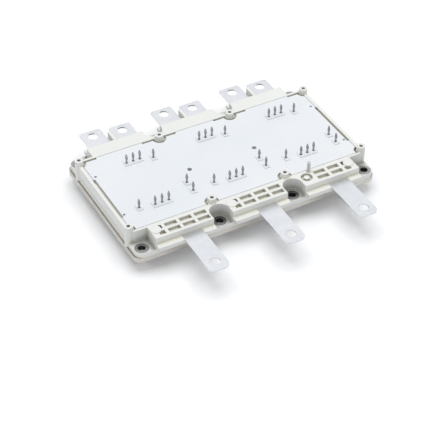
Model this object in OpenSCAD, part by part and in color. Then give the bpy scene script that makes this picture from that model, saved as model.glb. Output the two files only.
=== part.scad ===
// Three-phase silicon carbide power module on a pin-fin base plate.
// Millimetres, +Z up. The origin is the middle of the base plate's sealing face. X runs along
// the module, +Y points to the direct-current terminals, -Y to the phase-output terminals.

/* [Base plate] */
// Length of the base plate
plate_l = 154.5; // [140:0.5:170]
// Width of the base plate
plate_w = 92; // [84:0.5:100]
// Thickness of the base plate
plate_t = 3; // [2.5:0.1:5]
// Corner radius of the base plate
plate_r = 5; // [2:0.5:6]
// Mounting hole to the short edge of the plate
mount_end_inset = 5.6; // [5:0.1:6]
// Mounting hole to the long edge of the plate
mount_side_inset = 4.65; // [4.5:0.05:5]
// Diameter of a mounting hole
mount_hole_d = 4.5; // [4.2:0.1:5]
// Chamfer on the hole edges
hole_chamfer = 0.4; // [0.2:0.1:0.6]

/* [Pin fins] */
// Diameter of a pin fin
fin_d = 2.4; // [1.8:0.1:2.8]
// Height of a pin fin
fin_h = 7.4; // [4:0.1:9]
// Distance between fin columns along the module
fin_step_x = 3.77; // [3.4:0.01:5]
// Distance between fins of one column
fin_step_y = 4.35; // [3.8:0.05:6]
// Short edge of the plate to the fin field
fin_end_gap = 7.75; // [7.5:0.05:20]
// Long edge of the plate to the fin field
fin_side_gap = 18.5; // [17:0.5:25]

/* [Frame] */
// Short edge of the plate to the first phase
phase_margin = 6.75; // [6.5:0.05:7]
// Short edge of the plate to the frame body
frame_end_gap = 1.25; // [0.8:0.05:1.6]
// Long edge of the plate to the frame body
frame_side_gap = 11; // [10.8:0.1:11.3]
// Height of the frame above the base plate
frame_h = 10.5; // [10:0.1:14]
// Corner radius of the frame body
frame_r = 4; // [2:0.5:5]
// Rim between lid and outside at the short ends
rim_end = 2.3; // [1.5:0.1:3]
// Rim between lid and outside along the sides
rim_side = 1.5; // [1:0.1:2]
// Width of the ledge that carries the lid at the short ends
ledge_end = 2.9; // [2:0.1:3.5]
// Width of the ledge that carries the lid along the sides
ledge_side = 3.7; // [3:0.1:4]
// Thickness of the flange with the lugs
flange_t = 3.2; // [2.5:0.1:4]
// Radius of the screw niches
niche_r = 5.9; // [5.6:0.1:6.2]
// Edge of the base plate to the flange round a lug
lug_margin = 0.1; // [0:0.05:0.4]

/* [Lid] */
// Thickness of the lid
lid_t = 2; // [1.5:0.1:2.5]
// Gap round the lid
lid_gap = 0.25; // [0.1:0.05:0.5]
// Length of the latch gap in each short edge of the lid
latch_l = 37; // [20:1:45]
// Width of the latch gap
latch_w = 0.9; // [0.5:0.1:1.2]
// Middle of a latch gap to the middle of the lid, towards the phase terminals
latch_shift = 3; // [0:0.5:5]
// Depth of the relief in the frame rim beside a latch gap
latch_relief = 0.4; // [0.1:0.1:0.8]
// Diameter of the tool holes at the ends of a latch
latch_hole_d = 1.6; // [1:0.1:2]
// Tool hole to the short edge of the lid
latch_hole_inset = 2.1; // [2.1:0.1:3]
// Tool hole to the end of the latch gap, towards the direct-current terminals
latch_hole_step = 2; // [1:0.1:3]
// Length of the relief in the lid edge near a post
relief_l = 22; // [10:1:26]
// Depth of the relief in the lid edge
relief_w = 1.3; // [0.2:0.1:1.6]
// Diameter of the two vents in the lid
vent_d = 2.8; // [1:0.1:3.2]
// Vent to the middle between two phases
vent_step = 2.3; // [2:0.1:4]
// Height of the raised field round the pins
field_rise = 0.6; // [0.3:0.1:1]
// Edge of a pin field to its last pin along the row
field_end = 1.6; // [1.2:0.1:2]
// Edge of a pin field to its pins across the row
field_side = 2.4; // [1.4:0.1:2.6]
// Diameter of a pin hole in the lid
pin_hole_d = 1.5; // [1.3:0.05:1.9]

/* [Board posts] */
// Diameter of a board post
post_d = 5; // [4:0.1:5.4]
// Height of a post above the lid
post_h = 2.9; // [1:0.1:5]
// Outer posts to the short side of the frame body
post_end_inset = 1.2; // [0.8:0.1:2]
// Post rows to the long side of the frame body
post_side_inset = 2.8; // [2.6:0.1:3.2]
// Diameter of the screw hole in a post
post_hole_d = 2.2; // [1.6:0.1:3]
// Depth of the screw hole in a post
post_hole_depth = 8; // [4:0.5:9]
// Radius of the notch in the lid round a post
post_notch_r = 4.1; // [3.9:0.1:4.4]
// Gap between lid and frame round a post
post_gap = 1.3; // [0.4:0.1:1.5]
// Ledge under the lid round a post
post_ledge = 0.6; // [0.3:0.1:0.8]

/* [Terminal blocks] */
// Distance between two terminal blocks
block_gap = 11; // [9:0.5:12]
// Side of the frame body to the face of a phase-output block
ac_depth = 10.8; // [10.6:0.1:11]
// Side of the frame body to the face of a direct-current block
dc_depth = 8.4; // [7:0.1:11]
// Reach of the terminal shelf in front of its block
shelf_reach = 3.8; // [2:0.1:5]
// Thickness of the shelf under a terminal
shelf_t = 1.3; // [1:0.1:2]
// Wall between two cored pockets
pocket_wall = 1.9; // [1.6:0.1:4]
// Width of a cored pocket
pocket_w = 3; // [2:0.1:3.2]
// Depth of a cored pocket
pocket_depth = 2; // [1:0.1:3]
// First full pocket to the boss end of its block
pocket_start = 12.9; // [12.6:0.1:13.2]
// Part of the block length without full pockets
pocket_rest = 8.7; // [8:0.1:10]
// Short pocket beside the boss to the end of its block
short_pocket_start = 5.6; // [5.2:0.1:5.8]
// Side of the frame body to the first pocket row
pocket_inset = 2.8; // [2.4:0.1:3.2]
// Distance between the pocket rows
pocket_row_step = 4.7; // [4.2:0.1:5]
// Diameter of the round boss at the end of a block
boss_d = 6.2; // [5.5:0.1:6.3]
// Height of the boss above the block
boss_rise = 0.3; // [0.1:0.1:0.6]
// Boss to the end of its block
boss_inset = 3.2; // [3.2:0.1:4]
// Side of the frame body to the screw rows
boss_step = 4; // [3.6:0.1:4.4]
// Diameter of the round recess in the last block
recess_d = 6.8; // [6:0.1:7]
// Diameter of the stub in the round recess
stub_d = 3.4; // [3:0.1:4]
// Round recess to the end of its block
recess_inset = 5; // [4.8:0.1:5.2]
// Thickness of the rib between the direct-current terminals
rib_t = 1.8; // [1:0.1:2.4]
// Reach of the rib in front of its block
rib_reach = 10.5; // [4:0.5:12]
// Height of the rib above the terminals
rib_rise = 2.4; // [0.5:0.1:2.5]
// Thickness of the lip over the positive terminal
lip_t = 0.9; // [0.6:0.1:1.5]
// Overhang of the lip past the terminal edges
lip_over = 0.5; // [0.3:0.1:0.8]

/* [Locating pin] */
// Diameter of the locating pin
locator_d = 2; // [1.6:0.1:2.1]
// Corner width of its hexagonal shank in the frame
shank_d = 2.6; // [2.5:0.1:2.8]
// Height of the locating pin above the lid
locator_h = 7; // [3:0.1:9]
// Depth of the locating pin in the frame
locator_depth = 4; // [2:0.1:4.5]
// Locating pin to the end of its block
locator_inset = 8.5; // [8:0.1:8.8]

/* [Terminals] */
// Thickness of the terminal sheet
tab_t = 1; // [0.8:0.1:1.5]
// Lid top to terminal top
tab_drop = 4; // [3.5:0.1:5]
// Width of a phase-output terminal
ac_w = 12.6; // [10:0.1:14]
// Phase-output terminal to the end of its block
ac_edge = 7.9; // [4:0.1:10]
// Phase-output terminal, reach from its block face
ac_reach = 33.2; // [20:0.1:45]
// Phase-output terminal, hole to tip
ac_hole_inset = 6.9; // [5.5:0.1:9]
// Phase-output terminal, radius of the tip corners
ac_tip_r = 3.5; // [1:0.1:5]
// Gap between the positive and the negative terminal
dc_gap = 4.4; // [3.6:0.1:6]
// Positive terminal to the end of its block
pos_edge = 3.4; // [2:0.1:4]
// Negative terminal to the end of its block
neg_edge = 1; // [0.6:0.1:2]
// Positive terminal, reach from its block face
pos_reach = 19; // [15:0.1:27]
// Negative terminal, reach from its block face
neg_reach = 16.4; // [13:0.1:25]
// Direct-current terminal, hole to tip
dc_hole_inset = 5.3; // [5:0.1:7]
// Radius of the direct-current terminal corners
dc_tip_r = 1.2; // [0.5:0.1:3]
// Diameter of the terminal holes
tab_hole_d = 6.2; // [5:0.1:6.6]
// Width of a terminal inside the frame
lead_w = 9; // [6:0.1:10]
// Frame wall to the downward bend of a terminal
lead_inset = 1.6; // [1.2:0.1:1.8]
// Length of the soldered foot of a terminal
lead_foot = 3.2; // [2.5:0.1:3.4]

/* [Signal pins] */
// Thickness of a signal pin
pin_t = 0.8; // [0.6:0.05:1]
// Height of a pin above the lid
pin_h = 6.6; // [4:0.1:9]
// Distance between the pins of a row
pin_step = 4.2; // [3.8:0.1:4.6]
// Height of the square shaft above the lid
pin_shoulder = 1.2; // [0.8:0.1:1.8]
// Diameter of a pin foot
pin_foot_d = 1.9; // [1.4:0.1:2.4]
// Height of a pin foot
pin_foot_h = 1.4; // [1:0.1:2]

/* [Substrates] */
// Gap between two substrates
ceramic_gap = 5.4; // [4:0.1:5.8]
// Gap between a substrate and the side of the cavity
ceramic_side_gap = 2.8; // [2.4:0.1:3.2]
// Thickness of the ceramic
ceramic_t = 0.4; // [0.3:0.05:0.8]
// Thickness of the copper layers
copper_t = 0.4; // [0.2:0.05:0.6]
// Thickness of the solder layer
solder_t = 0.2; // [0.1:0.05:0.4]
// Edge of the ceramic to the copper
copper_inset = 1; // [0.6:0.1:1.2]
// Side of a transistor die
die_s = 5; // [4:0.1:5.2]
// Thickness of a die with its bond layer
die_t = 0.25; // [0.15:0.05:0.4]
// Thickness of the clips
clip_t = 0.5; // [0.3:0.05:0.8]
// Clearance between die top and clip
clip_lift = 1.05; // [0.95:0.05:1.3]
// Side of a clip foot on its die
clip_foot = 3.2; // [2.4:0.1:3.4]
// Diameter of a gate bond wire
wire_d = 0.3; // [0.2:0.05:0.35]
// Radius of a gate bond wire loop
loop_r = 0.75; // [0.7:0.05:0.8]

/* [Fastening] */
// Outer diameter of a mounting bush
bush_d = 6.6; // [6:0.1:7]
// Diameter of the collar at the top of a bush
collar_d = 7.8; // [7.4:0.1:8]
// Thickness of the collar
collar_t = 0.6; // [0.4:0.1:1]
// Diameter of the frame screw thread
screw_d = 3; // [2.5:0.1:3.2]
// Diameter of the frame screw head
screw_head_d = 5.4; // [4.8:0.1:5.6]
// Height of the frame screw head
screw_head_h = 1.4; // [1:0.1:1.6]
// Length of the frame screw under its head
screw_l = 6; // [4.5:0.1:6.3]
// Corner width of the screw socket
socket_d = 2.4; // [1.8:0.1:2.6]
// Depth of the screw socket
socket_depth = 1; // [0.6:0.1:1.2]
// Clearance round screws, bushes and heads
fit_gap = 0.1; // [0.05:0.01:0.2]
// Width of the bonding bead
bead_w = 1.4; // [1:0.1:1.6]
// Height of the bonding bead
bead_h = 0.6; // [0.3:0.1:1]
// Side of the frame body to the middle of the bead
bead_inset = 2.4; // [2.2:0.1:3]
// Fill height of the silicone gel above the base plate
gel_h = 4.6; // [4:0.1:5]

/* [Hidden] */
$fn = 48;
hex_sides = 6;
over = 1;
ivory = [0.93, 0.92, 0.87];
white = [0.95, 0.96, 0.98];
nickel = [0.80, 0.78, 0.74];
tin = [0.90, 0.90, 0.92];
pin_grey = [0.45, 0.45, 0.47];
steel = [0.68, 0.68, 0.69];
copper = [0.80, 0.50, 0.34];
ceramic_white = [0.88, 0.88, 0.86];
die_grey = [0.30, 0.32, 0.38];
gel_clear = [0.86, 0.89, 0.92];
bead_grey = [0.60, 0.60, 0.60];
dark = [0.14, 0.14, 0.15];

// heights, from the sealing face up
flange_top = plate_t + flange_t;
lid_top = plate_t + frame_h;
lid_bottom = lid_top - lid_t;
tab_top = lid_top - tab_drop;
tab_bottom = tab_top - tab_t;
shelf_bottom = tab_bottom - shelf_t;
back_copper_z = plate_t + solder_t;
ceramic_z = back_copper_z + copper_t;
top_copper_z = ceramic_z + ceramic_t;
island_top = top_copper_z + copper_t;
die_top = island_top + die_t;
clip_z = die_top + clip_lift;
clip_top = clip_z + clip_t;

// places that follow from the base plate
phase_count = 3;
phase_pitch = (plate_l - 2 * phase_margin) / phase_count;
frame_l = plate_l - 2 * frame_end_gap;
frame_w = plate_w - 2 * frame_side_gap;
fin_field_l = plate_l - 2 * fin_end_gap;
fin_field_w = plate_w - 2 * fin_side_gap;

// terminal blocks: places from the middle of their phase, and from the middle of the module
block_l = phase_pitch - block_gap;
boss_x = block_l / 2 - boss_inset;
boss_y = frame_w / 2 + boss_step;
recess_x = block_l / 2 - recess_inset;
locator_x = block_l / 2 - locator_inset;
locator_y = frame_w / 2;
pocket_step = (block_l - pocket_rest) / phase_count;
pocket_l = pocket_step - pocket_wall;
pocket_x = block_l / 2 - pocket_start;
short_pocket_x = block_l / 2 - short_pocket_start;
pocket_row_y = frame_w / 2 + pocket_inset;
ac_face_y = frame_w / 2 + ac_depth;
dc_face_y = frame_w / 2 + dc_depth;

// terminals: places from the middle of their phase, and from the middle of the module
dc_w = (block_l - dc_gap - pos_edge - neg_edge) / 2;
pos_x = pos_edge + dc_w / 2 - block_l / 2;
neg_x = block_l / 2 - neg_edge - dc_w / 2;
ac_x = block_l / 2 - ac_edge - ac_w / 2;
ac_tip_y = ac_face_y + ac_reach;
pos_tip_y = dc_face_y + pos_reach;
neg_tip_y = dc_face_y + neg_reach;

// mounting holes and frame screws
mount_x = plate_l / 2 - mount_end_inset;
mount_y = plate_w / 2 - mount_side_inset;
mount_columns = [-mount_x, -phase_pitch / 2, phase_pitch / 2, mount_x];
niche_columns = [-phase_pitch / 2, phase_pitch / 2];
screw_columns = [-phase_pitch - boss_x, -boss_x, phase_pitch - recess_x, phase_pitch + boss_x];
flange_r = min(mount_end_inset, mount_side_inset) - lug_margin;

// lid and cavity
lid_l = frame_l - 2 * rim_end - 2 * lid_gap;
lid_w = frame_w - 2 * rim_side - 2 * lid_gap;
cavity_l = frame_l - 2 * rim_end - 2 * ledge_end;
cavity_w = frame_w - 2 * rim_side - 2 * ledge_side;
post_x = frame_l / 2 - post_end_inset;
post_y = frame_w / 2 - post_side_inset;
post_columns = [-post_x, -phase_pitch / 2, phase_pitch / 2, post_x];
vent_at = [phase_pitch / 2 - vent_step, -vent_d / 2];
tool_hole = [lid_l / 2 - latch_hole_inset, latch_hole_step - latch_shift];
wall_y = cavity_w / 2;
lead_y = wall_y + ledge_side / 2;
seat_notch_r = post_notch_r - post_gap;
bridge_w = phase_pitch - block_l + 2 * over;
rib_x = (pos_x + neg_x) / 2;

// substrates, and places on them as parts of their width and length
ceramic_w = phase_pitch - ceramic_gap;
ceramic_l = cavity_w - 2 * ceramic_side_gap;
copper_x = ceramic_w / 2 - copper_inset;
copper_y = ceramic_l / 2 - copper_inset;
function along(parts) = [for (part = parts) part * ceramic_w];
function across(parts) = [for (part = parts) part * ceramic_l];
function spot(u, v) = [u * ceramic_w, v * ceramic_l];

// signal pins in their phase
high_row = spot(0.0144, 0.3704);
high_single = spot(0.2957, 0.3259);
low_row = spot(-0.0312, -0.3741);
low_single = spot(-0.3534, -0.3444);
sensor_inset = 1.1;
sensor_x = copper_x - sensor_inset;
sensor_y = across([-0.213, -0.3574]);
pin_singles = [high_single, low_single, [sensor_x, sensor_y[0]], [sensor_x, sensor_y[1]]];
// press-fit eye: levels as parts of its height, half widths as parts of the pin's
eye_levels = [0.3, 0.45, 0.65, 0.88];
slot_levels = [0.36, 0.48, 0.63, 0.76];
eye_wide = 1.7;
eye_neck = 0.8;
eye_point = 0.4;
slot_wide = 0.7;

// transistor dies, clips and etched copper in their phase
high_die_x = along([-0.3894, -0.2308, -0.0721]);
high_die_y = across([0.1296, 0.263]);
low_die_x = along([-0.012, 0.1466, 0.3053]);
low_die_y = across([-0.1556, -0.0222]);
high_clip_land = across([-0.1481, -0.0852]);
high_clip_trim = 4.5;
low_clip_land = across([0.1778, 0.2407]);
low_clip_trim = 6;
phase_island_y = ceramic_l * 0.0407;
plus_island = spot(0.0096, 0.0741);
minus_island = spot(0.0577, 0.1481);
rail_w = 0.9;
rail_inset = 1.4;
riser_w = 0.8;
riser_x = ceramic_w * 0.0337;
iso = 0.55;
pad_s = 3;
sensor_pad_w = 2.6;
sensor_pad_x = copper_x - sensor_pad_w;
sensor_pad_in = 2.8;
sensor_pad_out = 1.5;
wire_x = 2;
thermistor_size = [1.8, 3.8, 0.9];
thermistor_inset = 0.4;

// rectangle with round corners
module rounded(l, w, r) {
    square([l - 2 * r, w], center = true);
    square([l, w - 2 * r], center = true);
    for (sx = [-1, 1], sy = [-1, 1])
        translate([sx * (l / 2 - r), sy * (w / 2 - r)])
            circle(r);
}

// rectangle given by two opposite corners
module area(a, b) {
    translate([min(a[0], b[0]), min(a[1], b[1])])
        square([abs(b[0] - a[0]), abs(b[1] - a[1])]);
}

// the same at a height and with a thickness
module slab(a, b, z, t) {
    translate([0, 0, z])
        linear_extrude(t)
            area(a, b);
}

// children in the place of a phase: -1, 0 or 1
module in_phase(phase) {
    translate([phase * phase_pitch, 0, 0])
        children();
}

module at_mounts() {
    for (x = mount_columns, s = [-1, 1])
        translate([x, s * mount_y, 0])
            children();
}

module at_screws() {
    for (x = screw_columns, s = [-1, 1])
        translate([x, s * boss_y, 0])
            children();
}

module at_posts() {
    for (x = post_columns, s = [-1, 1])
        translate([x, s * post_y, 0])
            children();
}

// children at the foot of the locating pin
module at_locator() {
    in_phase(1)
        translate([-locator_x, -locator_y, lid_top - locator_depth])
            children();
}

// staggered field of fin sections
module fin_field() {
    columns = floor((fin_field_l - fin_d) / (2 * fin_step_x));
    rows = floor((fin_field_w - fin_d) / (2 * fin_step_y));
    for (c = [-columns:columns])
        let (odd = abs(c) % 2)
            for (r = [-rows:rows - odd])
                translate([c * fin_step_x, (r + odd / 2) * fin_step_y])
                    circle(d = fin_d, $fn = 24);
}

// plate and fins are forged in one piece; the screw heads sink into the underside
module base_plate() {
    color(nickel)
    difference() {
        union() {
            linear_extrude(plate_t)
                rounded(plate_l, plate_w, plate_r);
            translate([0, 0, -fin_h])
                linear_extrude(fin_h + plate_t / 2)
                    fin_field();
        }
        at_mounts()
            mount_hole();
        at_screws()
            screw_hole();
    }
}

module mount_hole() {
    translate([0, 0, -over])
        cylinder(d = mount_hole_d, h = plate_t + 2 * over);
    translate([0, 0, -over])
        cylinder(d1 = mount_hole_d + 2 * (hole_chamfer + over), d2 = mount_hole_d, h = hole_chamfer + over);
}

module screw_hole() {
    translate([0, 0, -over])
        cylinder(d = screw_d + 2 * fit_gap, h = plate_t + 2 * over);
    translate([0, 0, -over])
        cylinder(d = screw_head_d + 4 * fit_gap, h = screw_head_h + fit_gap + over);
}

// rectangle of the lid with notches of radius r round the posts, grown by g for the seat in the frame
module lid_outline(g, r) {
    difference() {
        square([lid_l + 2 * g, lid_w + 2 * g], center = true);
        at_posts()
            circle(r);
        for (x = niche_columns, s = [-1, 1])
            translate([x, s * (post_y + lid_w / 2)])
                square([2 * r, lid_w], center = true);
    }
}

// reliefs in the rim of the frame beside the latch gaps of the lid
module rim_reliefs() {
    for (s = [-1, 1])
        translate([s * lid_l / 2, -latch_shift])
            square([2 * (lid_gap + latch_relief), latch_l], center = true);
}

// inside of the frame, with the wall bulging round the inner posts
module cavity_outline() {
    difference() {
        square([cavity_l, cavity_w], center = true);
        for (x = niche_columns, s = [-1, 1])
            translate([x, s * post_y])
                circle(post_notch_r + post_ledge);
    }
}

// U-shaped niche over an inner mounting hole, open to the outside
module niche(side) {
    translate([0, 0, flange_top]) {
        cylinder(r = niche_r, h = frame_h);
        translate([-niche_r, side > 0 ? 0 : -2 * niche_r - over, 0])
            cube([2 * niche_r, 2 * niche_r + over, frame_h]);
    }
}

// two rows of cored pockets, running from the boss end of the block
module pockets(dir, columns) {
    for (row = [0, 1])
        translate([0, -pocket_row_y - row * pocket_row_step, lid_top]) {
            for (n = [0:columns - 1])
                translate([dir * (n * pocket_step - pocket_x), 0, 0])
                    cube([pocket_l, pocket_w, 2 * pocket_depth], center = true);
            translate([-dir * short_pocket_x, 0, 0])
                cube([pocket_l / 2, pocket_w, 2 * pocket_depth], center = true);
        }
}

// round recess with a stub, in place of the last pockets of the third block
module stub_recess() {
    translate([-recess_x, -boss_y, lid_top - pocket_depth])
        difference() {
            cylinder(d = recess_d, h = 2 * pocket_depth);
            translate([0, 0, -over])
                cylinder(d = stub_d, h = pocket_depth + over);
        }
}

// terminal block with the shelf its terminals lie on
module block(side, face_y) {
    slab([-block_l / 2, side * frame_w / 4], [block_l / 2, side * face_y], plate_t, frame_h);
    slab([-block_l / 2, side * frame_w / 4], [block_l / 2, side * (face_y + shelf_reach)],
        shelf_bottom, tab_top - shelf_bottom);
}

// rib that keeps the two direct-current terminals apart, and the lip over the positive one
module dc_barrier() {
    lip_x = dc_w / 2 + lip_over;
    slab([rib_x - rib_t / 2, dc_face_y - over], [rib_x + rib_t / 2, dc_face_y + rib_reach], shelf_bottom,
        tab_top + rib_rise - shelf_bottom);
    slab([pos_x - lip_x, dc_face_y - over], [pos_x + lip_x, dc_face_y + shelf_reach], tab_top, lip_t);
}

// wall between two blocks, which the niche hollows out
module bridge(side) {
    slab([-bridge_w / 2, side * frame_w / 4], [bridge_w / 2, side * mount_y], plate_t, frame_h);
}

// opening moulded round a terminal: wide outside, narrow inside, so it cannot pull out
module tab_opening(x, w, side) {
    slab([x - w / 2, side * lead_y], [x + w / 2, side * plate_w], tab_bottom, tab_t);
    slab([x - lead_w / 2, side * (wall_y - over)], [x + lead_w / 2, side * (wall_y + ledge_side)],
        tab_bottom, tab_t);
}

// ring of the bonding bead
module bead_ring() {
    inset = ledge_side + rim_side - bead_inset - bead_w / 2;
    difference() {
        square([cavity_l + 2 * inset + 2 * bead_w, cavity_w + 2 * inset + 2 * bead_w], center = true);
        square([cavity_l + 2 * inset, cavity_w + 2 * inset], center = true);
    }
}

// one moulding: flange with lugs, body, six terminal blocks, posts and screw bosses
module housing_frame() {
    color(ivory)
    difference() {
        union() {
            difference() {
                union() {
                    translate([0, 0, plate_t])
                        linear_extrude(flange_t)
                            rounded(2 * (mount_x + flange_r), 2 * (mount_y + flange_r), flange_r);
                    translate([0, 0, plate_t])
                        linear_extrude(frame_h)
                            rounded(frame_l, frame_w, frame_r);
                    for (phase = [-1:1])
                        in_phase(phase) {
                            block(-1, ac_face_y);
                            block(1, dc_face_y);
                            dc_barrier();
                        }
                    for (x = niche_columns, s = [-1, 1])
                        translate([x, 0, 0])
                            bridge(s);
                }
                for (x = niche_columns, s = [-1, 1])
                    translate([x, s * mount_y, 0])
                        niche(s);
                in_phase(-1)
                    pockets(1, 3);
                in_phase(0)
                    pockets(1, 3);
                in_phase(1) {
                    pockets(-1, 2);
                    stub_recess();
                }
                translate([0, 0, lid_bottom])
                    linear_extrude(lid_t + over) {
                        lid_outline(lid_gap, seat_notch_r);
                        rim_reliefs();
                    }
            }
            for (phase = [-1:1])
                in_phase(phase)
                    translate([phase > 0 ? boss_x : -boss_x, -boss_y, tab_bottom])
                        cylinder(d = boss_d, h = lid_top + boss_rise - tab_bottom);
            at_posts()
                translate([0, 0, plate_t])
                    cylinder(d = post_d, h = frame_h + post_h);
        }
        translate([0, 0, plate_t - over])
            linear_extrude(lid_bottom - plate_t + 2 * over)
                cavity_outline();
        for (phase = [-1:1])
            in_phase(phase) {
                tab_opening(pos_x, dc_w, 1);
                tab_opening(neg_x, dc_w, 1);
                tab_opening(ac_x, ac_w, -1);
            }
        at_posts()
            translate([0, 0, lid_top + post_h - post_hole_depth])
                cylinder(d = post_hole_d, h = post_hole_depth + over);
        at_mounts() {
            translate([0, 0, plate_t - over])
                cylinder(d = bush_d + 2 * fit_gap, h = flange_t + 2 * over);
            translate([0, 0, flange_top + fit_gap - collar_t])
                cylinder(d = collar_d + 2 * fit_gap, h = collar_t + over);
        }
        at_screws()
            translate([0, 0, plate_t - over])
                cylinder(d = screw_d + fit_gap, h = over + screw_l + screw_head_h - plate_t + 2 * fit_gap);
        translate([0, 0, plate_t - over])
            linear_extrude(bead_h + over)
                bead_ring();
        at_locator()
            cylinder(d = shank_d + fit_gap, h = locator_depth + over, $fn = hex_sides);
    }
}

// raised fields of the lid round the pins of one phase
module pin_fields() {
    for (row = [high_row, low_row])
        translate(row)
            square([2 * (pin_step + field_end), 2 * field_side], center = true);
    for (at = pin_singles)
        translate(at)
            square([2 * field_end, 2 * field_side], center = true);
}

// one close hole in the lid for each pin of a phase
module pin_holes() {
    for (row = [high_row, low_row], n = [-1:1])
        translate([row[0] + n * pin_step, row[1]])
            circle(d = pin_hole_d);
    for (at = pin_singles)
        translate(at)
            circle(d = pin_hole_d);
}

// flat plate that drops into the frame, with latch gaps in its short edges
module lid() {
    color(white) {
        translate([0, 0, lid_bottom])
            linear_extrude(lid_t)
                difference() {
                    lid_outline(0, post_notch_r);
                    lid_cuts();
                    for (phase = [-1:1])
                        in_phase(phase)
                            pin_holes();
                }
        for (phase = [-1:1])
            in_phase(phase)
                translate([0, 0, lid_top])
                    linear_extrude(field_rise)
                        difference() {
                            pin_fields();
                            pin_holes();
                        }
    }
}

// latch gaps with their tool holes, vents, and reliefs beside the back posts
module lid_cuts() {
    for (s = [-1, 1]) {
        translate([s * lid_l / 2, -latch_shift])
            square([2 * latch_w, latch_l], center = true);
        for (side = [-1, 1])
            translate([s * tool_hole[0], tool_hole[1] + side * latch_l / 2])
                circle(d = latch_hole_d);
        translate([s * vent_at[0], vent_at[1]])
            circle(d = vent_d);
    }
    for (x = post_columns)
        translate([x, lid_w / 2])
            square([relief_l, 2 * relief_w], center = true);
}

// dowel turned from hexagon bar, pressed into the frame by its shank, guides the board onto the pins
module locating_pin() {
    point = locator_d / 4;
    color(steel)
    at_locator() {
        cylinder(d = shank_d, h = locator_depth, $fn = hex_sides);
        cylinder(d = locator_d, h = locator_depth + locator_h - point);
        translate([0, 0, locator_depth + locator_h - point])
            cylinder(d1 = locator_d, d2 = locator_d / 2, h = point);
    }
}

// steel sleeves with a collar that take the screw load in the lugs
module mounting_bushes() {
    color(steel)
    at_mounts()
        translate([0, 0, plate_t])
            difference() {
                union() {
                    cylinder(d = bush_d, h = flange_t + fit_gap);
                    translate([0, 0, flange_t + fit_gap - collar_t])
                        cylinder(d = collar_d, h = collar_t);
                }
                translate([0, 0, -over])
                    cylinder(d = mount_hole_d, h = flange_t + 3 * over);
            }
}

// socket screws driven from below, head sunk under the sealing face
module frame_screws() {
    color(steel)
    at_screws()
        translate([0, 0, fit_gap])
            difference() {
                union() {
                    cylinder(d = screw_head_d, h = screw_head_h);
                    cylinder(d = screw_d, h = screw_head_h + screw_l);
                }
                translate([0, 0, -over])
                    cylinder(d = socket_d, h = socket_depth + over, $fn = hex_sides);
            }
}

// elastic adhesive in the groove under the frame
module bonding_bead() {
    color(bead_grey)
    translate([0, 0, plate_t])
        linear_extrude(bead_h)
            bead_ring();
}

// bent inner end of a terminal: level run, drop and soldered foot, drawn in the Y-Z plane
module lead_section() {
    drop_y = wall_y - lead_inset;
    bevel = tab_t / 2;
    polygon([
        [lead_y, tab_bottom], [lead_y, tab_top], [drop_y - tab_t + bevel, tab_top],
        [drop_y - tab_t, tab_top - bevel], [drop_y - tab_t, island_top + tab_t],
        [copper_y - lead_foot, island_top + tab_t], [copper_y - lead_foot, island_top],
        [drop_y - bevel, island_top], [drop_y, island_top + bevel], [drop_y, tab_bottom]]);
}

module lead(x) {
    translate([x - lead_w / 2, 0, 0])
        rotate([90, 0, 90])
            linear_extrude(lead_w)
                lead_section();
}

// flat outer end of a terminal with round tip corners and a screw hole
module blade(x, w, tip_y, hole_inset, r) {
    translate([0, 0, tab_bottom])
        linear_extrude(tab_t)
            difference() {
                union() {
                    area([x - w / 2, lead_y], [x + w / 2, tip_y - r]);
                    area([x - w / 2 + r, tip_y - r], [x + w / 2 - r, tip_y]);
                    for (s = [-1, 1])
                        translate([x + s * (w / 2 - r), tip_y - r])
                            circle(r);
                }
                translate([x, tip_y - hole_inset])
                    circle(d = tab_hole_d);
            }
}

module positive_tab(phase) {
    color(tin)
    in_phase(phase) {
        blade(pos_x, dc_w, pos_tip_y, dc_hole_inset, dc_tip_r);
        lead(pos_x);
    }
}

module negative_tab(phase) {
    color(tin)
    in_phase(phase) {
        blade(neg_x, dc_w, neg_tip_y, dc_hole_inset, dc_tip_r);
        lead(neg_x);
    }
}

module phase_tab(phase) {
    color(tin)
    in_phase(phase)
        mirror([0, 1, 0]) {
            blade(ac_x, ac_w, ac_tip_y, ac_hole_inset, ac_tip_r);
            lead(ac_x);
        }
}

// soldered foot, square shaft and press-fit eye of one signal pin
module pin() {
    shaft_z = island_top + pin_foot_h;
    shaft_top = lid_top + pin_shoulder;
    w = pin_t / 2;
    translate([0, 0, island_top])
        cylinder(d = pin_foot_d, h = pin_foot_h);
    translate([-w, -w, shaft_z])
        cube([pin_t, pin_t, shaft_top - shaft_z]);
    translate([0, w, shaft_top])
        rotate([90, 0, 0])
            linear_extrude(pin_t)
                eye_outline(w, pin_h - pin_shoulder);
}

// elastic press-fit zone of a pin with half width w and height h, slotted, drawn flat
module eye_outline(w, h) {
    wide = eye_wide * w;
    neck = eye_neck * w;
    point = eye_point * w;
    slot = slot_wide * w;
    difference() {
        polygon([
            [-w, 0], [w, 0], [w, eye_levels[0] * h], [wide, eye_levels[1] * h], [wide, eye_levels[2] * h],
            [neck, eye_levels[3] * h], [point, h], [-point, h], [-neck, eye_levels[3] * h],
            [-wide, eye_levels[2] * h], [-wide, eye_levels[1] * h], [-w, eye_levels[0] * h]]);
        polygon([
            [0, slot_levels[0] * h], [slot, slot_levels[1] * h], [slot, slot_levels[2] * h],
            [0, slot_levels[3] * h], [-slot, slot_levels[2] * h], [-slot, slot_levels[1] * h]]);
    }
}

module pin_row(row, single) {
    for (n = [-1:1])
        translate([row[0] + n * pin_step, row[1], 0])
            pin();
    translate([single[0], single[1], 0])
        pin();
}

module high_side_pins(phase) {
    color(pin_grey)
    in_phase(phase)
        pin_row(high_row, high_single);
}

module low_side_pins(phase) {
    color(pin_grey)
    in_phase(phase)
        pin_row(low_row, low_single);
}

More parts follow.
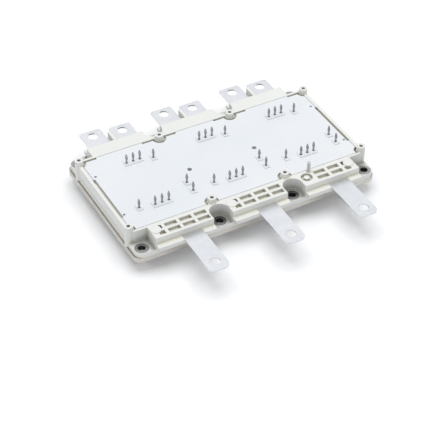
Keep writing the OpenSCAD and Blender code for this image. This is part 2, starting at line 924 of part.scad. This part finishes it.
module sensor_pins(phase) {
    color(pin_grey)
    in_phase(phase)
        for (y = sensor_y)
            translate([sensor_x, y, 0])
                pin();
}

// centred layer of a substrate
module layer(inset, z, t) {
    translate([-ceramic_w / 2 + inset, -ceramic_l / 2 + inset, z])
        cube([ceramic_w - 2 * inset, ceramic_l - 2 * inset, t]);
}

module solder_layer(phase) {
    color(steel)
    in_phase(phase)
        layer(copper_inset, plate_t, solder_t);
}

module back_copper(phase) {
    color(copper)
    in_phase(phase)
        layer(copper_inset, back_copper_z, copper_t);
}

module ceramic(phase) {
    color(ceramic_white)
    in_phase(phase)
        layer(0, ceramic_z, ceramic_t);
}

// conductors that are cut out of the large islands; g widens them into the isolating gap
module high_gate(g) {
    rail_y = (high_die_y[0] + high_die_y[1]) / 2;
    right = riser_x + riser_w / 2 + g;
    area([high_die_x[0] + rail_inset - g, rail_y - rail_w / 2 - g], [right, rail_y + rail_w / 2 + g]);
    area([riser_x - riser_w / 2 - g, rail_y - rail_w / 2 - g], [right, high_row[1] + g]);
}

module low_gate(g) {
    rail_y = (low_die_y[0] + low_die_y[1]) / 2;
    riser = low_row[0] - pin_step + rail_inset;
    left = riser - riser_w / 2 - g;
    area([left, rail_y - rail_w / 2 - g], [low_die_x[2] + die_s / 2 + g, rail_y + rail_w / 2 + g]);
    area([left, low_row[1] - g], [riser + riser_w / 2 + g, rail_y + rail_w / 2 + g]);
}

module signal_pads(g) {
    s = pad_s + 2 * g;
    for (n = [-1:1]) {
        translate([high_row[0] + n * pin_step, high_row[1]])
            square(s, center = true);
        translate([low_row[0] + n * pin_step, low_row[1]])
            square(s, center = true);
    }
    translate(high_single)
        square(s, center = true);
    translate(low_single)
        square(s, center = true);
}

module sensor_pads(g) {
    left = sensor_pad_x - g;
    right = copper_x + g;
    area([left, sensor_y[0] - sensor_pad_in - g], [right, sensor_y[0] + sensor_pad_out + g]);
    area([left, sensor_y[1] - sensor_pad_out - g], [right, sensor_y[1] + sensor_pad_in + g]);
}

// phase island in front, positive island behind on the left, negative island behind on the right
module islands() {
    difference() {
        union() {
            area([-copper_x, -copper_y], [copper_x, phase_island_y]);
            area([-copper_x, plus_island[1]], [plus_island[0], copper_y]);
            area([minus_island[0], minus_island[1]], [copper_x, copper_y]);
        }
        high_gate(iso);
        low_gate(iso);
        signal_pads(iso);
        sensor_pads(iso);
    }
    high_gate(0);
    low_gate(0);
    signal_pads(0);
    sensor_pads(0);
}

module top_copper(phase) {
    color(copper)
    in_phase(phase)
        translate([0, 0, top_copper_z])
            linear_extrude(copper_t)
                islands();
}

module dies(xs, ys) {
    for (x = xs, y = ys)
        translate([x - die_s / 2, y - die_s / 2, island_top])
            cube([die_s, die_s, die_t]);
}

module high_side_dies(phase) {
    color(die_grey)
    in_phase(phase)
        dies(high_die_x, high_die_y);
}

module low_side_dies(phase) {
    color(die_grey)
    in_phase(phase)
        dies(low_die_x, low_die_y);
}

// downset feet of a clip, one on each die
module clip_feet(xs, ys) {
    for (x = xs, y = ys)
        translate([x - clip_foot / 2, y - clip_foot / 2, die_top])
            cube([clip_foot, clip_foot, clip_lift + clip_t / 2]);
}

module high_side_clip(phase) {
    x0 = high_die_x[0] - die_s / 2;
    x1 = high_die_x[2] + die_s / 2;
    color(copper)
    in_phase(phase) {
        clip_feet(high_die_x, high_die_y);
        slab([x0, high_die_y[0] - die_s / 2], [x1, high_die_y[1] + die_s / 2], clip_z, clip_t);
        slab([x0, high_clip_land[0]], [x1 - high_clip_trim, high_die_y[0]], clip_z, clip_t);
        slab([x0, high_clip_land[0]], [x1 - high_clip_trim, high_clip_land[1]], island_top,
            clip_top - island_top);
    }
}

module low_side_clip(phase) {
    x0 = low_die_x[0] - die_s / 2;
    x1 = low_die_x[2] + die_s / 2;
    color(copper)
    in_phase(phase) {
        clip_feet(low_die_x, low_die_y);
        slab([x0, low_die_y[0] - die_s / 2], [x1, low_die_y[1] + die_s / 2], clip_z, clip_t);
        slab([x0 + low_clip_trim, low_die_y[1]], [x1, low_clip_land[1]], clip_z, clip_t);
        slab([x0 + low_clip_trim, low_clip_land[0]], [x1, low_clip_land[1]], island_top,
            clip_top - island_top);
    }
}

// half loop from a die edge to the gate rail; s points from the die to the rail
module gate_wire(s) {
    translate([0, 0, die_top])
        rotate([90, 0, 90])
            rotate_extrude(angle = 180, $fn = 24)
                translate([loop_r, 0])
                    circle(d = wire_d, $fn = 16);
    translate([0, s * loop_r, island_top])
        cylinder(d = wire_d, h = die_t, $fn = 16);
}

module wire_row(xs, ys) {
    rail_y = (ys[0] + ys[1]) / 2;
    for (x = xs, s = [-1, 1])
        translate([x + wire_x, rail_y - s * (loop_r + rail_w / 4), 0])
            gate_wire(s);
}

module gate_wires(phase) {
    color(tin)
    in_phase(phase) {
        wire_row(high_die_x, high_die_y);
        wire_row(low_die_x, low_die_y);
    }
}

// chip that bridges the two sensor pads
module thermistor(phase) {
    color(dark)
    in_phase(phase)
        translate([sensor_pad_x + thermistor_inset,
            (sensor_y[0] + sensor_y[1] - thermistor_size[1]) / 2, island_top])
            cube(thermistor_size);
}

// everything that the gel flows round in one phase
module potted(phase) {
    solder_layer(phase);
    back_copper(phase);
    ceramic(phase);
    top_copper(phase);
    high_side_dies(phase);
    low_side_dies(phase);
    high_side_clip(phase);
    low_side_clip(phase);
    gate_wires(phase);
    thermistor(phase);
    positive_tab(phase);
    negative_tab(phase);
    phase_tab(phase);
    high_side_pins(phase);
    low_side_pins(phase);
    sensor_pins(phase);
}

// soft filling poured over substrates, dies and wires
module silicone_gel() {
    color(gel_clear)
    difference() {
        translate([0, 0, plate_t])
            linear_extrude(gel_h)
                cavity_outline();
        for (phase = [-1:1])
            potted(phase);
    }
}

base_plate();
housing_frame();
lid();
locating_pin();
mounting_bushes();
frame_screws();
bonding_bead();
silicone_gel();
positive_tab(-1);  // positive_tab_1
positive_tab(0);  // positive_tab_2
positive_tab(1);  // positive_tab_3
negative_tab(-1);  // negative_tab_1
negative_tab(0);  // negative_tab_2
negative_tab(1);  // negative_tab_3
phase_tab(-1);  // phase_tab_1
phase_tab(0);  // phase_tab_2
phase_tab(1);  // phase_tab_3
high_side_pins(-1);  // high_side_pins_1
high_side_pins(0);  // high_side_pins_2
high_side_pins(1);  // high_side_pins_3
low_side_pins(-1);  // low_side_pins_1
low_side_pins(0);  // low_side_pins_2
low_side_pins(1);  // low_side_pins_3
sensor_pins(-1);  // sensor_pins_1
sensor_pins(0);  // sensor_pins_2
sensor_pins(1);  // sensor_pins_3
solder_layer(-1);  // solder_layer_1
solder_layer(0);  // solder_layer_2
solder_layer(1);  // solder_layer_3
back_copper(-1);  // back_copper_1
back_copper(0);  // back_copper_2
back_copper(1);  // back_copper_3
ceramic(-1);  // ceramic_1
ceramic(0);  // ceramic_2
ceramic(1);  // ceramic_3
top_copper(-1);  // top_copper_1
top_copper(0);  // top_copper_2
top_copper(1);  // top_copper_3
high_side_dies(-1);  // high_side_dies_1
high_side_dies(0);  // high_side_dies_2
high_side_dies(1);  // high_side_dies_3
low_side_dies(-1);  // low_side_dies_1
low_side_dies(0);  // low_side_dies_2
low_side_dies(1);  // low_side_dies_3
high_side_clip(-1);  // high_side_clip_1
high_side_clip(0);  // high_side_clip_2
high_side_clip(1);  // high_side_clip_3
low_side_clip(-1);  // low_side_clip_1
low_side_clip(0);  // low_side_clip_2
low_side_clip(1);  // low_side_clip_3
gate_wires(-1);  // gate_wires_1
gate_wires(0);  // gate_wires_2
gate_wires(1);  // gate_wires_3
thermistor(-1);  // thermistor_1
thermistor(0);  // thermistor_2
thermistor(1);  // thermistor_3
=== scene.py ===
import math
import bpy
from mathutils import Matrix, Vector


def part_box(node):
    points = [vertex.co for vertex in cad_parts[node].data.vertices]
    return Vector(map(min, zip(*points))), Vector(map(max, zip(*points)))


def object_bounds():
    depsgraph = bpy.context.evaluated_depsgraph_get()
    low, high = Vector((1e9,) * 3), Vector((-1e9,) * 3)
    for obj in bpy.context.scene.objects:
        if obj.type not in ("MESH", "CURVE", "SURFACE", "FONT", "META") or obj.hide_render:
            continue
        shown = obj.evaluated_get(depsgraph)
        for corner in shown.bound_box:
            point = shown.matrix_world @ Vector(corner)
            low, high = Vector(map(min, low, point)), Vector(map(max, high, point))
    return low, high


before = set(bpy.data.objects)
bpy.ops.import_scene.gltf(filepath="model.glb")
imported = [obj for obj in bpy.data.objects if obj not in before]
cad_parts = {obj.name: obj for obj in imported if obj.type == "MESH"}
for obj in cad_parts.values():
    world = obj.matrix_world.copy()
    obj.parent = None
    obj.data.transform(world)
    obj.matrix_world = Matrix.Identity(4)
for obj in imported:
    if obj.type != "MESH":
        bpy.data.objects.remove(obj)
cad_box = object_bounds()
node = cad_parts

# Base plate: forged in one piece of copper with its pin fins, then nickel plated to a satin, slightly
# warm grey. The frame is glued and screwed on its top; coolant runs between the fins underneath.


def start_finish(name):
    """Material with one Principled shader; returns the material, its node tree and the shader."""
    material = bpy.data.materials.new(name)
    material.use_nodes = True
    tree = material.node_tree
    return material, tree, tree.nodes["Principled BSDF"]


def speckle(tree, scale, detail=4, packing=(1, 1, 1), harshness=0.6):
    """Noise in the part's own coordinates: scale spots to the metre, packed closer or wider on each axis."""
    place = tree.nodes.new("ShaderNodeTexCoord")
    size = tree.nodes.new("ShaderNodeMapping")
    size.inputs["Scale"].default_value = packing
    noise = tree.nodes.new("ShaderNodeTexNoise")
    noise.inputs["Scale"].default_value = scale
    noise.inputs["Detail"].default_value = detail
    noise.inputs["Roughness"].default_value = harshness
    tree.links.new(place.outputs["Object"], size.inputs["Vector"])
    tree.links.new(size.outputs["Vector"], noise.inputs["Vector"])
    return noise.outputs["Fac"]


def span(tree, value, low, high, to_low=0, to_high=1):
    """Value taken from one range to another, clamped."""
    step = tree.nodes.new("ShaderNodeMapRange")
    step.inputs["From Min"].default_value = low
    step.inputs["From Max"].default_value = high
    step.inputs["To Min"].default_value = to_low
    step.inputs["To Max"].default_value = to_high
    tree.links.new(value, step.inputs["Value"])
    return step.outputs["Result"]


def tint(tree, share, under, over):
    """Colour that goes from under to over with share; each is a colour or another node's output."""
    mix = tree.nodes.new("ShaderNodeMix")
    mix.data_type = "RGBA"
    first_colour, second_colour, mixed_colour = mix.inputs[6], mix.inputs[7], mix.outputs[2]
    tree.links.new(share, mix.inputs["Factor"])
    for colour, socket in ((under, first_colour), (over, second_colour)):
        if isinstance(colour, tuple):
            socket.default_value = (*colour, 1)
        else:
            tree.links.new(colour, socket)
    return mixed_colour


def drift(tree, pattern, first, second, low=0.3, high=0.7):
    """First colour that drifts into the second where a noise pattern rises from low to high."""
    return tint(tree, span(tree, pattern, low, high), first, second)


def soft_edges(tree, radius, flat_cosine=0.995, edge_cosine=0.8):
    """Rounded-edge normal, and a mask that is 1 where it leaves the true normal and 0 on the flats."""
    rounded = tree.nodes.new("ShaderNodeBevel")
    rounded.samples = 6
    rounded.inputs["Radius"].default_value = radius
    flat = tree.nodes.new("ShaderNodeNewGeometry")
    dot = tree.nodes.new("ShaderNodeVectorMath")
    dot.operation = "DOT_PRODUCT"
    tree.links.new(rounded.outputs["Normal"], dot.inputs[0])
    tree.links.new(flat.outputs["Normal"], dot.inputs[1])
    return rounded.outputs["Normal"], span(tree, dot.outputs["Value"], flat_cosine, edge_cosine)


def recesses(tree, reach, shut=0.25):
    """How far a point is closed in within reach: 0 in the open, 1 where less than the share shut is open."""
    opening = tree.nodes.new("ShaderNodeAmbientOcclusion")
    opening.samples = 8
    opening.inputs["Distance"].default_value = reach
    return span(tree, opening.outputs["AO"], 1, shut)


def paint(tree, shader, colour):
    """Base colour from a node's output."""
    tree.links.new(colour, shader.inputs["Base Color"])


def gloss(tree, shader, pattern, smooth, rough, low=0.3, high=0.7):
    """Roughness that goes from smooth to rough where a noise pattern rises from low to high."""
    tree.links.new(span(tree, pattern, low, high, smooth, rough), shader.inputs["Roughness"])


def relief(tree, shader, height, depth, normal):
    """Fine surface relief of the given depth in metres over the rounded normal."""
    bump = tree.nodes.new("ShaderNodeBump")
    bump.inputs["Distance"].default_value = depth
    tree.links.new(height, bump.inputs["Height"])
    tree.links.new(normal, bump.inputs["Normal"])
    tree.links.new(bump.outputs["Normal"], shader.inputs["Normal"])


def wear(material, *names):
    """Puts a finish on CAD nodes."""
    for name in names:
        node[name].data.materials.clear()
        node[name].data.materials.append(material)


nickel_dull, nickel_pale, nickel_rubbed = (0.60, 0.57, 0.52), (0.72, 0.70, 0.66), (0.80, 0.78, 0.75)
fin_gap_darkening, fin_gap = (0.30, 0.25, 0.20), 0.003
nickel, tree, shader = start_finish("satin_nickel")
round_normal, edge = soft_edges(tree, radius=0.0003)
cloud = speckle(tree, scale=45, detail=5)
pits = speckle(tree, scale=2600, detail=3)
plated = drift(tree, cloud, nickel_dull, nickel_pale, low=0.35, high=0.68)
# The plating goes darker and browner where the fins close each other in.
fin_gap_darkened = tint(tree, recesses(tree, fin_gap), plated, fin_gap_darkening)
paint(tree, shader, tint(tree, edge, fin_gap_darkened, nickel_rubbed))
gloss(tree, shader, cloud, smooth=0.30, rough=0.46)
shader.inputs["Metallic"].default_value = 1
relief(tree, shader, pits, depth=0.00002, normal=round_normal)
wear(nickel, "base_plate")

# Substrates: for each phase a ceramic sheet with copper on both sides, soldered to the base plate.
# The top copper is etched into islands that carry the dies, the clips and the feet of the pins.
phases = ("_1", "_2", "_3")
solder_dark, solder_pale = (0.42, 0.43, 0.44), (0.58, 0.58, 0.60)
solder, tree, shader = start_finish("dull_solder")
crystals = speckle(tree, scale=1400, detail=5)
paint(tree, shader, tint(tree, crystals, solder_dark, solder_pale))
gloss(tree, shader, crystals, smooth=0.35, rough=0.6)
shader.inputs["Metallic"].default_value = 1

copper_dark, copper_red, copper_rubbed = (0.62, 0.30, 0.18), (0.74, 0.42, 0.28), (0.86, 0.58, 0.44)
copper, tree, shader = start_finish("bare_copper")
round_normal, edge = soft_edges(tree, radius=0.0001)
rolling = speckle(tree, scale=700, packing=(1, 12, 1))
bloom = tint(tree, speckle(tree, scale=90), copper_dark, copper_red)
paint(tree, shader, tint(tree, edge, bloom, copper_rubbed))
gloss(tree, shader, rolling, smooth=0.28, rough=0.45)
shader.inputs["Metallic"].default_value = 1
relief(tree, shader, rolling, depth=0.000008, normal=round_normal)

ceramic_grey, ceramic_white = (0.70, 0.70, 0.67), (0.80, 0.80, 0.78)
fired, tree, shader = start_finish("fired_ceramic")
grit = speckle(tree, scale=3000, detail=3)
paint(tree, shader, tint(tree, grit, ceramic_grey, ceramic_white))
shader.inputs["Roughness"].default_value = 0.6

for phase in phases:
    wear(solder, "solder_layer" + phase)
    wear(copper, "back_copper" + phase, "top_copper" + phase)
    wear(fired, "ceramic" + phase)

# Dies, clips, wires and thermistors: silicon carbide chips sintered on the islands, copper clips on
# top of them, thin aluminium gate wires, and one dark ceramic temperature sensor for each phase.
die_blue, die_grey = (0.05, 0.06, 0.09), (0.10, 0.12, 0.16)
crystal, tree, shader = start_finish("polished_die")
sheen = speckle(tree, scale=300, detail=2)
paint(tree, shader, tint(tree, sheen, die_blue, die_grey))
shader.inputs["Roughness"].default_value = 0.12

wire_dull, wire_bright = (0.70, 0.70, 0.72), (0.84, 0.84, 0.86)
bond_wire, tree, shader = start_finish("drawn_aluminium")
drawn = speckle(tree, scale=5000, detail=2)
paint(tree, shader, tint(tree, drawn, wire_dull, wire_bright))
shader.inputs["Metallic"].default_value = 1
shader.inputs["Roughness"].default_value = 0.25

sensor_black, sensor_grey = (0.015, 0.015, 0.017), (0.03, 0.03, 0.032)
sensor, tree, shader = start_finish("dark_sensor_body")
matt = speckle(tree, scale=2500, detail=3)
paint(tree, shader, tint(tree, matt, sensor_black, sensor_grey))
shader.inputs["Roughness"].default_value = 0.5

for phase in phases:
    wear(crystal, "high_side_dies" + phase, "low_side_dies" + phase)
    wear(copper, "high_side_clip" + phase, "low_side_clip" + phase)
    wear(bond_wire, "gate_wires" + phase)
    wear(sensor, "thermistor" + phase)

# Signal pins: stamped copper alloy with a dull tin finish, soldered on the islands. Each one ends in
# a slotted press-fit eye that a driver board is pushed onto.
pin_dark, pin_grey, pin_rubbed = (0.27, 0.27, 0.285), (0.40, 0.40, 0.415), (0.52, 0.52, 0.54)
pin_tin, tree, shader = start_finish("dull_pin_tin")
round_normal, edge = soft_edges(tree, radius=0.00012)
stamped = speckle(tree, scale=1500, detail=3, packing=(1, 1, 0.2))
grey = drift(tree, stamped, pin_dark, pin_grey, low=0.35, high=0.65)
paint(tree, shader, tint(tree, edge, grey, pin_rubbed))
gloss(tree, shader, stamped, smooth=0.30, rough=0.45)
shader.inputs["Metallic"].default_value = 0.85
relief(tree, shader, stamped, depth=0.00001, normal=round_normal)
for phase in phases:
    wear(pin_tin, "high_side_pins" + phase, "low_side_pins" + phase, "sensor_pins" + phase)

# Bonding bead: grey elastic adhesive laid in the groove under the frame, squeezed flat when the
# frame is pressed onto the plate.
sealant_dark, sealant_grey = (0.28, 0.28, 0.28), (0.36, 0.36, 0.355)
sealant, tree, shader = start_finish("grey_sealant")
skin = speckle(tree, scale=500)
paint(tree, shader, tint(tree, skin, sealant_dark, sealant_grey))
shader.inputs["Roughness"].default_value = 0.55
wear(sealant, "bonding_bead")

# Housing frame: one glass-filled moulding in ivory, shot round the terminals. Its surface is lightly eroded
# and its edges are polished. Painted shade: the cored pockets are painted a warmer beige, the deep screw
# niches grey on their walls and darker on their floors, and the narrow slots at the lid dark brown.


def blend(tree, operation, first, second):
    """Two values joined by the named operation."""
    join = tree.nodes.new("ShaderNodeMath")
    join.operation = operation
    tree.links.new(first, join.inputs[0])
    tree.links.new(second, join.inputs[1])
    return join.outputs["Value"]


def upright(tree, vector):
    """Vertical share of a vector."""
    split = tree.nodes.new("ShaderNodeSeparateXYZ")
    tree.links.new(vector, split.inputs["Vector"])
    return split.outputs["Z"]


ivory_shade, ivory_pale, ivory_polished = (0.80, 0.81, 0.785), (0.835, 0.845, 0.82), (0.84, 0.845, 0.83)
fibre_grey, pocket_shade_beige, painted_slot_shade = (0.70, 0.70, 0.66), (0.75, 0.72, 0.59), (0.20, 0.19, 0.17)
painted_niche_wall_shade, painted_niche_floor_shade = (0.45, 0.45, 0.43), (0.18, 0.18, 0.17)
slot_reach, pocket_reach, niche_reach = 0.0018, 0.0035, 0.014
lug_top, shelf_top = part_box("mounting_bushes")[1].z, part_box("phase_tab_1")[1].z
lug_clearance = 0.0012
ivory, tree, shader = start_finish("ivory_moulding")
round_normal, edge = soft_edges(tree, radius=0.00035)
flow = speckle(tree, scale=28, packing=(1, 0.35, 1))
fibres = speckle(tree, scale=1800)
moulded = drift(tree, flow, ivory_shade, ivory_pale)
fibre_share = span(tree, fibres, low=0.62, high=0.78, to_high=0.35)
speckled = tint(tree, fibre_share, moulded, fibre_grey)
in_pocket, in_niche = recesses(tree, pocket_reach), recesses(tree, niche_reach)
# Painted shade: the cored pockets are painted a warm beige where they close in.
warm = tint(tree, in_pocket, speckled, pocket_shade_beige)
surface = tree.nodes.new("ShaderNodeNewGeometry")
wall = span(tree, upright(tree, surface.outputs["Normal"]), low=0.3, high=0.8, to_low=1, to_high=0)
height = upright(tree, surface.outputs["Position"])
low_down = span(tree, height, lug_top + lug_clearance, shelf_top, to_low=1, to_high=0)
# Painted shade: walls deep in a screw niche are painted grey, and the niche floors below the shelf a darker
# grey.
wide_wall = blend(tree, "MULTIPLY", wall, span(tree, in_pocket, low=0.3, high=0.8, to_low=1, to_high=0.7))
niche_wall_shade_share = blend(tree, "MULTIPLY", wide_wall, span(tree, in_niche, low=0.6, high=0.95, to_high=0.8))
low_floor = blend(tree, "MULTIPLY", low_down, span(tree, wall, low=0, high=1, to_low=1, to_high=0.2))
niche_floor_shade_share = blend(tree, "MULTIPLY", low_floor, span(tree, in_niche, low=0.3, high=0.6, to_high=0.85))
shaded = tint(tree, niche_floor_shade_share, tint(tree, niche_wall_shade_share, warm, painted_niche_wall_shade), painted_niche_floor_shade)
# Painted shade: the narrow slots at the lid are painted dark brown.
slot_shade_share = span(tree, recesses(tree, slot_reach), low=0.65, high=0.95, to_high=0.9)
paint(tree, shader, tint(tree, edge, tint(tree, slot_shade_share, shaded, painted_slot_shade), ivory_polished))
gloss(tree, shader, fibres, smooth=0.42, rough=0.58)
shader.inputs["Specular IOR Level"].default_value = 0.4
relief(tree, shader, fibres, depth=0.00003, normal=round_normal)
wear(ivory, "housing_frame")

# Frame screws: short socket screws of zinc plated steel, driven from below through the base plate
# into the bosses of the frame, with their heads sunk under the sealing face.
zinc_dark, zinc_grey, zinc_rubbed = (0.26, 0.26, 0.27), (0.40, 0.40, 0.42), (0.62, 0.62, 0.64)
zinc, tree, shader = start_finish("zinc_steel")
round_normal, edge = soft_edges(tree, radius=0.00015)
turning = speckle(tree, scale=900, detail=3, packing=(1, 1, 8))
dull = drift(tree, turning, zinc_dark, zinc_grey, low=0.35, high=0.65)
paint(tree, shader, tint(tree, edge, dull, zinc_rubbed))
gloss(tree, shader, turning, smooth=0.28, rough=0.42)
shader.inputs["Metallic"].default_value = 1
relief(tree, shader, turning, depth=0.00001, normal=round_normal)
wear(zinc, "frame_screws")

# Terminals: tabs punched from rolled copper sheet and tin plated, bent down inside the frame and
# soldered to the islands. The tin is bright with a cool cast, and the rolling of the sheet shows in it
# as fine streaks along the tab.
tin_dull, tin_pale, tin_rubbed = (0.77, 0.78, 0.81), (0.87, 0.88, 0.90), (0.93, 0.93, 0.95)
tin_streak = (0.57, 0.58, 0.61)
tin, tree, shader = start_finish("bright_tin")
round_normal, edge = soft_edges(tree, radius=0.0002)
marks = speckle(tree, scale=420, detail=5, packing=(9, 0.6, 1))
haze = speckle(tree, scale=70)
cool = drift(tree, haze, tin_dull, tin_pale)
streak_share = span(tree, marks, low=0.4, high=0.75, to_high=0.47)
rolled = tint(tree, streak_share, cool, tin_streak)
paint(tree, shader, tint(tree, edge, rolled, tin_rubbed))
gloss(tree, shader, marks, smooth=0.30, rough=0.48)
shader.inputs["Metallic"].default_value = 1
relief(tree, shader, marks, depth=0.00001, normal=round_normal)
for phase in phases:
    wear(tin, "positive_tab" + phase, "negative_tab" + phase, "phase_tab" + phase)

# Mounting bushes: collared sleeves turned from steel and left plain. They sit in the lugs and take the
# screw load off the moulding. Painted shade darkens the collars down in the niches, and darker painted shade
# fills the bores.
steel_dark, steel_grey, steel_rubbed = (0.33, 0.33, 0.335), (0.46, 0.46, 0.465), (0.58, 0.58, 0.59)
painted_niche_shade_grey, painted_bore_shade_black = (0.10, 0.10, 0.10), (0.03, 0.03, 0.032)
bore_reach = 0.005
plain_steel, tree, shader = start_finish("plain_turned_steel")
round_normal, edge = soft_edges(tree, radius=0.00015)
rings = speckle(tree, scale=1200, detail=3, packing=(1, 1, 6))
bare = drift(tree, rings, steel_dark, steel_grey)
# Painted shade: the steel is painted dark grey deep in the niches and near black down the bores.
niche_shaded = tint(tree, span(tree, recesses(tree, niche_reach), low=0.35, high=0.7), bare, painted_niche_shade_grey)
bore_shaded = tint(tree, span(tree, recesses(tree, bore_reach), low=0.55, high=1), niche_shaded, painted_bore_shade_black)
paint(tree, shader, tint(tree, edge, bore_shaded, steel_rubbed))
gloss(tree, shader, rings, smooth=0.30, rough=0.45)
shader.inputs["Metallic"].default_value = 1
relief(tree, shader, rings, depth=0.00001, normal=round_normal)
wear(plain_steel, "mounting_bushes")

# Locating pin: dowel turned from hexagon bar and tin plated, pressed into the frame by its shank, so
# that the board finds the signal pins.
dowel_grey, dowel_pale, dowel_rubbed = (0.55, 0.56, 0.58), (0.68, 0.69, 0.71), (0.80, 0.80, 0.82)
dowel, tree, shader = start_finish("plated_dowel")
round_normal, edge = soft_edges(tree, radius=0.00015)
lathe = speckle(tree, scale=1600, detail=3, packing=(1, 1, 6))
bright = drift(tree, lathe, dowel_grey, dowel_pale)
paint(tree, shader, tint(tree, edge, bright, dowel_rubbed))
gloss(tree, shader, lathe, smooth=0.25, rough=0.40)
shader.inputs["Metallic"].default_value = 1
relief(tree, shader, lathe, depth=0.00001, normal=round_normal)
wear(dowel, "locating_pin")

# Silicone gel: clear soft filling, poured over the substrates and cured. It only shows through the
# vents of the lid.
gel_blue, gel_clear = (0.78, 0.82, 0.86), (0.86, 0.89, 0.92)
gel, tree, shader = start_finish("clear_gel")
ripple = speckle(tree, scale=60, detail=2)
paint(tree, shader, tint(tree, ripple, gel_blue, gel_clear))
shader.inputs["Roughness"].default_value = 0.08
shader.inputs["Transmission Weight"].default_value = 0.7
shader.inputs["IOR"].default_value = 1.41
wear(gel, "silicone_gel")

# Lid: flat moulded plate, cool white, dropped onto the ledge of the frame. Its latches spring into
# the short ends, and the pins come up through close holes in its raised fields.
white_shade, white_pale, white_polished = (0.78, 0.812, 0.845), (0.825, 0.85, 0.878), (0.90, 0.92, 0.94)
grain_grey = (0.71, 0.74, 0.77)
white, tree, shader = start_finish("cool_white_moulding")
round_normal, edge = soft_edges(tree, radius=0.0003)
swirl = speckle(tree, scale=18, detail=3)
grain = speckle(tree, scale=2200)
moulded = drift(tree, swirl, white_shade, white_pale)
grain_share = span(tree, grain, low=0.6, high=0.8, to_high=0.25)
specks = tint(tree, grain_share, moulded, grain_grey)
paint(tree, shader, tint(tree, edge, specks, white_polished))
gloss(tree, shader, grain, smooth=0.42, rough=0.56)
shader.inputs["Specular IOR Level"].default_value = 0.4
relief(tree, shader, grain, depth=0.00002, normal=round_normal)
wear(white, "lid")

# Floor: a pale matt sheet that the module stands on with its fin tips. It keeps the shadow. A glow that
# only the camera sees takes it to white, a little near the module and more where the lamp doesn't reach.
floor_half, floor_white = 3, (0.90, 0.905, 0.92)
near_glow, far_glow = 0.12, 0.50
near_reach, far_reach = 0.35, 1.3
lowest = cad_box[0].z
floor_mesh = bpy.data.meshes.new("floor")
floor_mesh.from_pydata(
    [(x, y, lowest) for x, y in ((-floor_half, -floor_half), (floor_half, -floor_half),
                                 (floor_half, floor_half), (-floor_half, floor_half))],
    [], [(0, 1, 2, 3)])
floor = bpy.data.objects.new("floor", floor_mesh)
bpy.context.scene.collection.objects.link(floor)
pale, tree, shader = start_finish("pale_floor")
shader.inputs["Base Color"].default_value = (*floor_white, 1)
shader.inputs["Roughness"].default_value = 0.9
shader.inputs["Specular IOR Level"].default_value = 0.1
ray = tree.nodes.new("ShaderNodeLightPath")
glow = tree.nodes.new("ShaderNodeEmission")
both = tree.nodes.new("ShaderNodeAddShader")
spot = tree.nodes.new("ShaderNodeNewGeometry")
away = tree.nodes.new("ShaderNodeVectorMath")
away.operation = "LENGTH"
tree.links.new(spot.outputs["Position"], away.inputs[0])
strength = span(tree, away.outputs["Value"], near_reach, far_reach, near_glow, far_glow)
tree.links.new(blend(tree, "MULTIPLY", ray.outputs["Is Camera Ray"], strength), glow.inputs["Strength"])
tree.links.new(shader.outputs["BSDF"], both.inputs[0])
tree.links.new(glow.outputs["Emission"], both.inputs[1])
tree.links.new(both.outputs["Shader"], tree.nodes["Material Output"].inputs["Surface"])
floor_mesh.materials.append(pale)

# Studio light: an even white surround and one large soft box overhead. The camera sees the surround as
# plain white. Metal mirrors it from pale grey at the horizon to white above, and doesn't mirror the lamp.
surround_white, softbox_white = (0.97, 0.985, 1), (1, 0.99, 0.975)
surround_light, seen_light = 0.57, 1.05
horizon_light, zenith_light, zenith_height = 0.79, 1.15, 0.9
softbox_power, softbox_width, softbox_depth = 5.9, 0.9, 0.7
softbox_place, softbox_tilt = (0, 0.05, 1), math.radians(-3)
world = bpy.data.worlds.new("studio")
bpy.context.scene.world = world
world.use_nodes = True
tree = world.node_tree
surround = tree.nodes["Background"]
surround.inputs["Color"].default_value = (*surround_white, 1)
ray = tree.nodes.new("ShaderNodeLightPath")
mirrored = blend(tree, "MAXIMUM", ray.outputs["Is Glossy Ray"], ray.outputs["Is Transmission Ray"])
direction = tree.nodes.new("ShaderNodeTexCoord").outputs["Generated"]
ceiling = span(tree, upright(tree, direction), 0, zenith_height, horizon_light, zenith_light)
plain = span(tree, mirrored, low=0, high=1, to_low=surround_light, to_high=0)
lighting = blend(tree, "MAXIMUM", plain, blend(tree, "MULTIPLY", mirrored, ceiling))
backdrop = span(tree, ray.outputs["Is Camera Ray"], low=0, high=1, to_high=seen_light)
tree.links.new(blend(tree, "MAXIMUM", lighting, backdrop), surround.inputs["Strength"])

softbox = bpy.data.lights.new("softbox", "AREA")
softbox.shape = "RECTANGLE"
softbox.size = softbox_width
softbox.size_y = softbox_depth
softbox.energy = softbox_power
softbox.color = softbox_white
lamp = bpy.data.objects.new("softbox", softbox)
lamp.location = softbox_place
lamp.rotation_euler = (softbox_tilt, 0, 0)
lamp.visible_glossy = False
bpy.context.scene.collection.objects.link(lamp)

# Camera: a long lens that looks down at the module from the front left, at the photograph's angle. It
# has no lens shift, so that other views stay centred.
film_width, focal_length = 36, 114.88
eye, aim_degrees = (-0.31261, -0.55833, 0.52077), (48.964, -0.6005, -28.819)
lens = bpy.data.cameras.new("photo_view")
lens.sensor_width = film_width
lens.lens = focal_length
lens.clip_start = 0.01
camera = bpy.data.objects.new("photo_view", lens)
camera.location = eye
camera.rotation_euler = [math.radians(angle) for angle in aim_degrees]
bpy.context.scene.collection.objects.link(camera)
bpy.context.scene.camera = camera
bpy.context.scene.view_settings.view_transform = "Standard"
